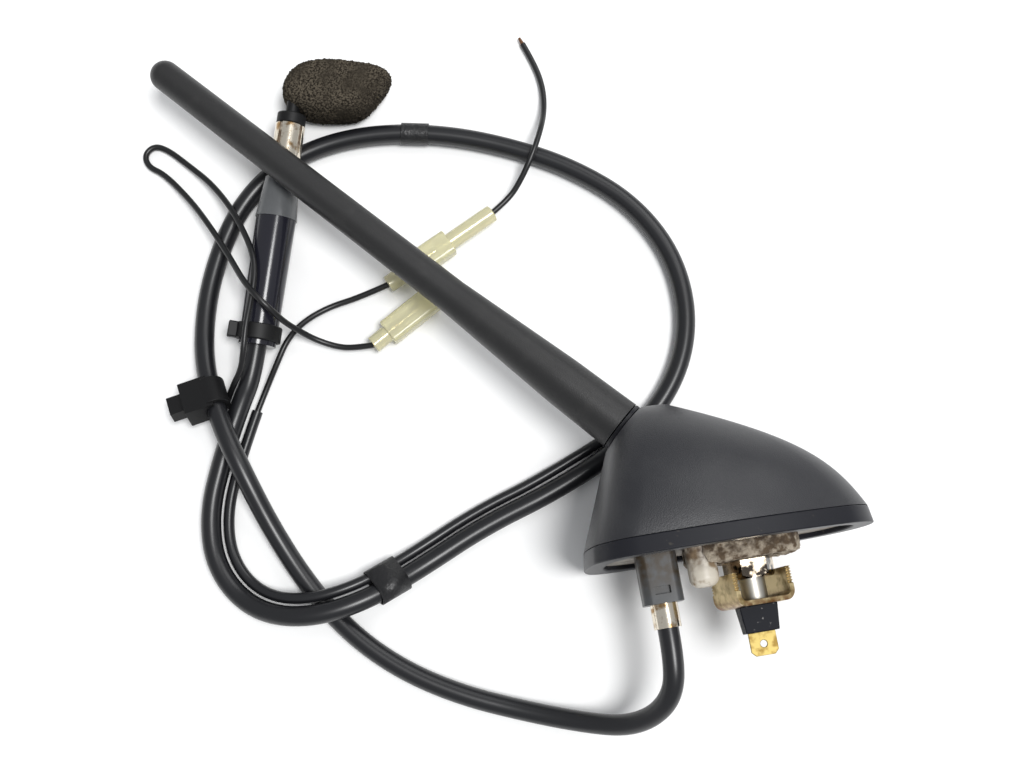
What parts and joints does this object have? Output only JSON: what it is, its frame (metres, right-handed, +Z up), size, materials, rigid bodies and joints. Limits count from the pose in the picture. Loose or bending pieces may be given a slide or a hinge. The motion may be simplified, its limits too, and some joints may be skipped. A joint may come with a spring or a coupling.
{
  "type": "car roof antenna",
  "caption": "Teardrop roof antenna lying on its side, with a raked screw-in rubber mast, clamp hardware under the base, a loose coax with an aerial plug and thin supply wires.",
  "frame": {"origin": "centre of the roof face, in the opening of the seal lip", "axes": "+X to the front of the car, +Z up from the table it lies on, +Y nearly away from the roof"},
  "size_m": [0.2035, 0.2282, 0.056],
  "materials": {
    "housing_plastic": "fine-grained charcoal, dusty",
    "rim_rubber": "smooth navy-black",
    "plate_metal": "grey-beige with brown dirt",
    "steel": "dull zinc",
    "tin": "bright tin plate, warm reflections",
    "brass": "bright brass",
    "board": "green board",
    "dirty_foam": "dirty fuzzy foam",
    "nut_zinc": "yellow zinc, stained",
    "bracket_zinc": "yellow zinc with rust",
    "black_nylon": "matt black",
    "pale_plastic": "pale grey",
    "outlet_plastic": "grey, dirty towards the plate",
    "mast_rubber": "matt charcoal, fine grain",
    "cable_pvc": "semi-gloss black",
    "wire_pvc": "semi-gloss black",
    "gloss_sleeve": "gloss purple-black",
    "clear_collar": "grey translucent",
    "grey_foam": "open-cell grey-brown foam",
    "tape": "black tape",
    "clear_shell": "translucent pale yellow"
  },
  "bodies": {
    "base": {"housing": "housing_plastic", "rim_seal": "rim_rubber", "base_plate": "plate_metal", "cover_screws": "steel", "mast_socket": "tin", "contact_spring": "brass", "circuit_board": "board", "clamp_post": "steel", "foam_pad": "dirty_foam", "clamp_nut": "nut_zinc", "clamp_bracket": "bracket_zinc", "terminal_holder": "black_nylon", "blade_tab": "brass", "locating_peg": "pale_plastic", "cable_outlet": "outlet_plastic", "crimp_ferrule": "tin", "coax": "cable_pvc", "lead_strip": "cable_pvc", "clip_wire": "wire_pvc", "bundle_wire": "wire_pvc", "tail_wire": "wire_pvc", "plug_sleeve": "gloss_sleeve", "plug_collar": "clear_collar", "plug_barrel": "tin", "plug_insulator": "pale_plastic", "plug_ring": "black_nylon", "plug_neck": "black_nylon", "plug_pin": "brass", "foam_wrap": "grey_foam", "cable_tie": "black_nylon", "cable_clip": "black_nylon", "tape_front": "tape", "tape_rear": "tape", "open_socket_shell": "clear_shell", "open_terminal": "tin", "joined_socket_shell": "clear_shell", "joined_pin_shell": "clear_shell", "joined_terminal": "tin"},
    "washer": {"mast_washer": "rim_rubber"},
    "mast": {"mast": "mast_rubber", "mast_core": "steel", "mast_stud": "steel"}
  },
  "joints": [
    {"name": "mast_lift", "type": "slide", "parent": "base", "child": "washer", "axis": [-0.6717, 0.74, -0.0336], "range_m": [0, 0.008]},
    {"name": "mast_turn", "type": "hinge", "parent": "washer", "child": "mast", "pos_m": [-0.0234, 0.03926, -0.00178], "axis": [-0.6717, 0.74, -0.0336], "range_deg": [0, 3600]}
  ],
  "couplings": [
    {"joint": "mast_turn", "follows": "mast_lift", "rad_per_m": 7854}
  ]
}
